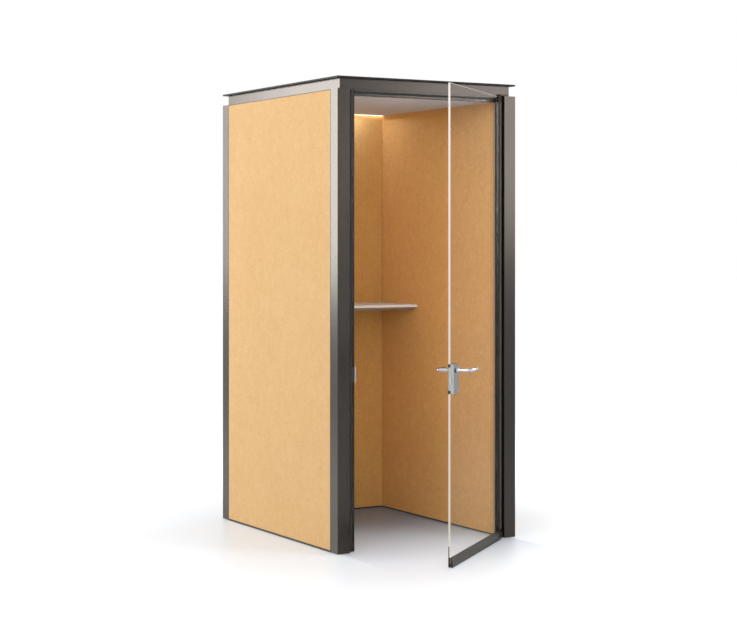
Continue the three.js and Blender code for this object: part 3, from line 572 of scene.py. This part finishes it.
def frame_and_fittings():
    """Frame, fittings, ceiling and shelf: bare solids first, then the pieces with eased edges."""
    painted(bronze_upright, "post_front_left", "post_front_right", "post_rear_left", "post_rear_right")
    painted(bronze_across, "ring_beam_front", "ring_beam_rear", "light_channel")
    painted(bronze_front_to_back, "ring_beam_left", "ring_beam_right")
    painted(dark_bronze, "left_wall_frame", "right_wall_frame", "rear_wall_frame")
    painted(mineral_core, "left_wall_core", "right_wall_core", "rear_wall_core")
    painted(steel_zinc, "shelf_bracket_left", "shelf_bracket_right", "power_supply", "lever_spindle")
    painted(plastic_black, "fan_frame", "fan_impeller", "power_inlet")
    painted(opal_lit, "light_diffuser")
    eased("roof_plate", roof_coat, ROOF_EASE)
    jamb("jamb_left", -1)
    jamb("jamb_right", 1)
    eased("door_head", bronze_across, FRAME_EASE)
    eased("top_pivot_bracket", dark_bronze, FRAME_EASE)
    eased("top_pivot_patch", dark_bronze, FINE_EASE)
    eased("foot_pivot_bracket", steel_zinc, FRAME_EASE)
    eased("door_bottom_rail", bronze_door, BAR_EASE)
    eased("rail_end_cap", dark_bronze, FRAME_EASE)
    for node in ("seal_left", "seal_right", "seal_head"):
        eased(node, seal_black, FINE_EASE)
    for node in ("floor_sweep", "lock_gasket"):
        eased(node, rubber_black, FINE_EASE)
    for corner in ("front_left", "front_right", "rear_left", "rear_right"):
        eased("glide_" + corner, steel_zinc, GLIDE_EASE, 1)
    board = eased("shelf", shelf_laminate, SHELF_EASE)
    # Painted light on the front face, painted shade on the faces that look down.
    second_finish(board, shelf_front_painted_light, lambda centre, normal: normal.y < -FACING)
    second_finish(board, shelf_underside_painted_shade, lambda centre, normal: normal.z < -SLANTED)
    eased("ceiling_panel", ceiling_paint, BAR_EASE)
    case = eased("lock_case", steel_satin, CASE_EASE, 3)
    second_finish(case, steel_bright, lambda centre, normal: normal.dot(DOOR_FREE_SIDE) > FACING)
    eased("lock_inner_plate", steel_satin, FINE_EASE)
    eased("latch_bolt", steel_pale, BAR_EASE)
    eased("key_plug", steel_zinc, FINE_EASE)


def door_leaf():
    """The glass leaf: clear faces; free edge and top in a pale warm colour, a painted glow of the light in
    the glass edge; a hinge edge painted dark, as painted shade.
    """
    leaf = eased("door_glass", clear_glass, GLASS_EASE)
    # Painted glow on the free edge and top.
    second_finish(leaf, glass_edge_painted_glow, lambda centre, normal: normal.dot(DOOR_FREE_SIDE) > FACING)
    second_finish(leaf, glass_edge_painted_glow, lambda centre, normal: normal.z > FACING)
    # Painted shade on the hinge edge.
    second_finish(leaf, shaded_glass, lambda centre, normal: normal.dot(DOOR_FREE_SIDE) < -SLANTED)


SHOE_HALF = 5.0 * MM
SHOE_FOOT = 18.2 * MM
SHOE_TOP = 48 * MM
SHOE_TEETH = 5
SHOE_TOOTH = 4.4 * MM
SHOE_THICKNESS = 0.8 * MM
SHOE_STEP = 0.3 * MM
SHOE_EASE = 0.15 * MM
TOOTH_SHARE = 0.55
GAP_SHARE = 0.2


def draw_up(height, share, fixed):
    """Draws the picked face up, and leaves it a share of its old width on the fixed side."""
    bpy.ops.mesh.extrude_region_move(TRANSFORM_OT_translate={"value": (0, 0, height)})
    if share != 1.0:
        bpy.ops.transform.resize(value=(1, share, 1), center_override=fixed)


def edge_shoe():
    """A dark shoe over the foot of the free glass edge, drawn up into a toothed strip on its inner side."""
    to_door = DOOR.inverted()
    edge = min((to_door @ vertex.co).x for vertex in nodes["door_glass"].data.vertices)
    middle = edge - SHOE_THICKNESS / 2
    choose()
    bpy.ops.mesh.primitive_cube_add(
        size=1,
        location=(middle, 0, (SHOE_FOOT + SHOE_TOP) / 2),
        scale=(SHOE_THICKNESS, 2 * SHOE_HALF, SHOE_TOP - SHOE_FOOT),
    )
    shoe = bpy.context.object
    shoe.name = "free_edge_shoe"
    settle(shoe)
    edit_faces(shoe, lambda centre, normal: normal.z > FACING)
    inner_side = (middle, SHOE_HALF, SHOE_TOP)
    width = 1.0
    for _ in range(SHOE_TEETH):
        draw_up(SHOE_STEP, GAP_SHARE / width, inner_side)
        draw_up(SHOE_TOOTH, 1.0, inner_side)
        draw_up(SHOE_STEP, TOOTH_SHARE / GAP_SHARE, inner_side)
        draw_up(SHOE_TOOTH, 1.0, inner_side)
        width = TOOTH_SHARE
    leave()
    modify(shoe, "BEVEL", width=SHOE_EASE, segments=2, limit_method="ANGLE", angle_limit=EASE_FROM)
    shoe.matrix_world = DOOR
    settle(shoe)
    shade(shoe)
    dress(shoe, rubber_black)
    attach(shoe, "door")


STRIKE_NOSE = -0.3985


def strike():
    """The strike plate: dark where it lies on the jamb, bright steel on its nose."""
    plate = eased("strike_plate", bronze_upright, FINE_EASE)
    edit(plate)
    bpy.ops.mesh.bisect(plane_co=(STRIKE_NOSE, 0, 0), plane_no=(1, 0, 0))
    leave()
    second_finish(plate, steel_bright, lambda centre, normal: centre.x > STRIKE_NOSE)


# Levers
LEVER_RADIUS = 8.5 * MM
LEVER_NECK = 62 * MM
LEVER_BEND = 14 * MM
LEVER_GRIP = 112 * MM
LEVER_SIDES = 32
LEVER_BEND_STEPS = 12
LEVER_AXIS = DOOR.inverted() @ Vector(joints["lever_turn"]["pos_m"])
INNER_SEAT = 0.0069
OUTER_SEAT = -0.021
INNER_COLLAR = 9.8 * MM
OUTER_COLLAR = 12.0 * MM
COLLAR_EASE = 0.6 * MM
COLLAR_RIM = 3.0 * MM
FLARE_FIRST = 3.0 * MM
FLARE_LAST = 4.5 * MM
FLARE_SHARE = 0.6
COLLAR_LENGTH = 2 * COLLAR_EASE + COLLAR_RIM + FLARE_FIRST + FLARE_LAST
DOME = ((1.2 * MM, 0.94), (0.8 * MM, 0.84), (0.4 * MM, 0.6))
DOME_LENGTH = sum(step for step, share in DOME)


def stretch_ring(step, size=1.0):
    """Draws the open end of the tube out by a step, and scales the new end about its own middle."""
    bpy.ops.mesh.extrude_region_move(TRANSFORM_OT_translate={"value": step})
    if size != 1.0:
        piece = bpy.context.object
        piece.update_from_editmode()
        picked = [vertex.co for vertex in piece.data.vertices if vertex.select]
        middle = sum(picked, Vector()) / len(picked)
        bpy.ops.transform.resize(value=(size, size, size), center_override=middle)


def lever(node, seat, facing, collar):
    """A bar lever: flared collar, neck, bend and grip with a domed end."""
    foot = collar - COLLAR_EASE
    choose()
    bpy.ops.mesh.primitive_circle_add(vertices=LEVER_SIDES, radius=foot, fill_type="NOTHING")
    piece = bpy.context.object
    piece.name = node + "_bar"
    piece.rotation_euler = (-math.pi / 2, 0, 0)
    settle(piece)
    edit(piece, "EDGE")
    stretch_ring((0, COLLAR_EASE, 0), collar / foot)
    stretch_ring((0, COLLAR_RIM, 0))
    stretch_ring((0, COLLAR_EASE, 0), foot / collar)
    slope = LEVER_RADIUS / foot
    stretch_ring((0, FLARE_FIRST, 0), slope ** FLARE_SHARE)
    stretch_ring((0, FLARE_LAST, 0), slope ** (1 - FLARE_SHARE))
    stretch_ring((0, LEVER_NECK - LEVER_BEND - COLLAR_LENGTH, 0))
    bpy.ops.mesh.spin(
        steps=LEVER_BEND_STEPS,
        angle=math.pi / 2,
        center=(LEVER_BEND, LEVER_NECK - LEVER_BEND, 0),
        axis=(0, 0, 1),
    )
    stretch_ring((LEVER_GRIP - LEVER_BEND - DOME_LENGTH, 0, 0))
    for step, share in DOME:
        stretch_ring((step, 0, 0), share)
    bpy.ops.mesh.edge_face_add()
    bpy.ops.mesh.select_all(action="DESELECT")
    bpy.ops.mesh.select_non_manifold(
        use_boundary=True,
        use_wire=False,
        use_multi_face=False,
        use_non_contiguous=False,
        use_verts=False,
    )
    bpy.ops.mesh.edge_face_add()
    bpy.ops.mesh.select_all(action="SELECT")
    bpy.ops.mesh.remove_doubles(threshold=MERGE_WITHIN)
    bpy.ops.mesh.normals_make_consistent(inside=False)
    leave()
    turn = Matrix.Rotation(math.pi if facing < 0 else 0.0, 4, "X")
    piece.matrix_world = DOOR @ Matrix.Translation(seat) @ turn
    settle(piece)
    shade(piece, LEVER_SMOOTH_BELOW)
    stand_for(piece, node, steel_lever)


def levers():
    inner_seat = Vector((LEVER_AXIS.x, INNER_SEAT, LEVER_AXIS.z))
    outer_seat = Vector((LEVER_AXIS.x, OUTER_SEAT, LEVER_AXIS.z))
    lever("inner_lever", inner_seat, 1, INNER_COLLAR)
    lever("outer_lever", outer_seat, -1, OUTER_COLLAR)


# Camera, floor and light
SENSOR_WIDTH = 36.0
LENS_LENGTH = 86.03
LENS_SHIFT_UP = -0.0985
CAMERA_PLACE = (-4.4592, -7.78806, 1.45333)
CAMERA_TURN = math.radians(-29.932)
SIGHT_END = 200


def photo_camera():
    data = bpy.data.cameras.new("photo_camera")
    data.sensor_fit = "HORIZONTAL"
    data.sensor_width = SENSOR_WIDTH
    data.lens = LENS_LENGTH
    data.shift_y = LENS_SHIFT_UP
    data.clip_end = SIGHT_END
    camera = bpy.data.objects.new("photo_camera", data)
    camera.location = CAMERA_PLACE
    camera.rotation_euler = (math.pi / 2, 0, CAMERA_TURN)
    bpy.context.scene.collection.objects.link(camera)
    bpy.context.scene.camera = camera


def background_rays(tree):
    """One for rays that show the backdrop: from the camera, in gloss or through glass."""
    path = add(tree, "ShaderNodeLightPath").outputs
    seen = maths(tree, "MAXIMUM", path["Is Camera Ray"], path["Is Glossy Ray"])
    return maths(tree, "MAXIMUM", seen, path["Is Transmission Ray"])


def fade(tree, value, limits, low, high):
    """Goes softly from low to high while the value passes between its two limits."""
    start, end = limits
    return spread(tree, value, low, high, start, end, "SMOOTHSTEP")


# Painted shade: the first tone is the darker, cooler floor inside the pod's footprint.
FLOOR_PAINTED_SHADE = (0.21, 0.29, 0.42, 1)
FLOOR_OUTSIDE = (0.47, 0.5, 0.54, 1)
FLOOR_SIZE = 80
FLOOR_DROP = 0.4 * MM
FLOOR_MATT = 0.4
FADE_OUT_FRONT = (-1.25, 0.3)
FADE_BESIDE = (0.42, 0.5)
FADE_BEHIND = (0.54, 0.62)
GLOW_REACH = (0.5, 2.2)
GLOW_NEAR = 0.32
GLOW_FAR = 0.64


def studio_floor():
    """A white floor, with painted shade inside the pod's footprint: darker and tinted cool there."""
    choose()
    bpy.ops.mesh.primitive_plane_add(size=FLOOR_SIZE, location=(0, 0, -FLOOR_DROP))
    floor = bpy.context.object
    floor.name = "studio_floor"
    settle(floor)
    material = bpy.data.materials.new("studio_floor")
    material.use_nodes = True
    tree = material.node_tree
    shader = tree.nodes["Principled BSDF"]
    place = add(tree, "ShaderNodeTexCoord").outputs["Object"]
    length = add(tree, "ShaderNodeVectorMath", operation="LENGTH")
    feed(tree, length.inputs[0], place)
    apart = add(tree, "ShaderNodeSeparateXYZ")
    feed(tree, apart.inputs["Vector"], place)
    # Painted shade mask: one on the open floor, nothing inside the pod's footprint, where the floor is
    # painted darker.
    out_front = fade(tree, apart.outputs["Y"], FADE_OUT_FRONT, 1.0, 0.0)
    beside = fade(tree, maths(tree, "ABSOLUTE", apart.outputs["X"]), FADE_BESIDE, 0.0, 1.0)
    behind = fade(tree, apart.outputs["Y"], FADE_BEHIND, 0.0, 1.0)
    outside_painted_shade = maths(tree, "MAXIMUM", maths(tree, "MAXIMUM", out_front, beside), behind)
    tone = blend_colours(tree, outside_painted_shade, FLOOR_PAINTED_SHADE, FLOOR_OUTSIDE)
    feed(tree, shader.inputs["Base Color"], tone)
    shader.inputs["Roughness"].default_value = FLOOR_MATT
    shader.inputs["Emission Color"].default_value = (1, 1, 1, 1)
    brightness = fade(tree, length.outputs["Value"], GLOW_REACH, GLOW_NEAR, GLOW_FAR)
    shown = maths(tree, "MULTIPLY", brightness, outside_painted_shade)
    glow = maths(tree, "MULTIPLY", background_rays(tree), shown)
    feed(tree, shader.inputs["Emission Strength"], glow)
    dress(floor, material)


WORLD_LIGHT = 0.28
BACKDROP_LIGHT = 1.0


def studio_world():
    """An even light from all round, in front of a white backdrop."""
    world = bpy.data.worlds.new("studio_world")
    bpy.context.scene.world = world
    world.use_nodes = True
    tree = world.node_tree
    light = tree.nodes["Background"]
    light.inputs["Color"].default_value = (1, 1, 1, 1)
    strength = spread(tree, background_rays(tree), WORLD_LIGHT, BACKDROP_LIGHT)
    feed(tree, light.inputs["Strength"], strength)


def softbox(name, place, target, size, power):
    data = bpy.data.lights.new(name, "AREA")
    data.shape = "RECTANGLE"
    data.size, data.size_y = size
    data.energy = power
    lamp = bpy.data.objects.new(name, data)
    lamp.location = place
    lamp.rotation_euler = (Vector(target) - Vector(place)).to_track_quat("-Z", "Y").to_euler()
    bpy.context.scene.collection.objects.link(lamp)


POOL_APART = 0.200
POOL_BACK = 0.435
POOL_HEIGHT = 2.143
POOL_POWER = 1.0
POOL_COLOUR = (0.92, 1.0, 1.25)
POOL_CONE = math.radians(174)
POOL_FADE = 0.1
POOL_SOURCE = 0.01


def pool_lamp(name, place):
    """The pool of light that the strip throws down the wall behind it."""
    data = bpy.data.lights.new(name, "SPOT")
    data.energy = POOL_POWER
    data.color = POOL_COLOUR
    data.spot_size = POOL_CONE
    data.spot_blend = POOL_FADE
    data.shadow_soft_size = POOL_SOURCE
    lamp = bpy.data.objects.new(name, data)
    lamp.location = place
    bpy.context.scene.collection.objects.link(lamp)


def studio_light():
    """Softboxes, each with its place, the point it looks at, its size and its power, and the two pools."""
    softbox("rear_left_softbox", (-3.9, 4.4, 2.35), (-0.5, 0.0, 1.6), (2.6, 2.6), 210)
    softbox("left_softbox", (-2.9, -2.9, 2.9), (-0.4, -0.4, 1.5), (1.5, 1.5), 36)
    softbox("camera_softbox", (-3.9, -6.6, 3.2), (0.0, 0.0, 1.1), (2.0, 2.0), 64)
    softbox("right_softbox", (2.85, -4.0, 2.3), (0.2, -0.5, 1.9), (1.5, 1.7), 52)
    softbox("right_rear_softbox", (4.0, 2.2, 2.6), (0.5, 0.0, 1.1), (2.0, 2.0), 60)
    softbox("top_softbox", (-0.6, -1.2, 4.6), (0.0, -0.3, 0.0), (3.0, 3.0), 60)
    pool_lamp("pool_lamp_left", (-POOL_APART, POOL_BACK, POOL_HEIGHT))
    pool_lamp("pool_lamp_right", (POOL_APART, POOL_BACK, POOL_HEIGHT))


# Putting the scene together
felt_boards()
frame_and_fittings()
door_leaf()
edge_shoe()
strike()
levers()
photo_camera()
studio_floor()
studio_world()
studio_light()
bpy.context.scene.view_settings.view_transform = "Standard"

bpy.context.view_layer.update()
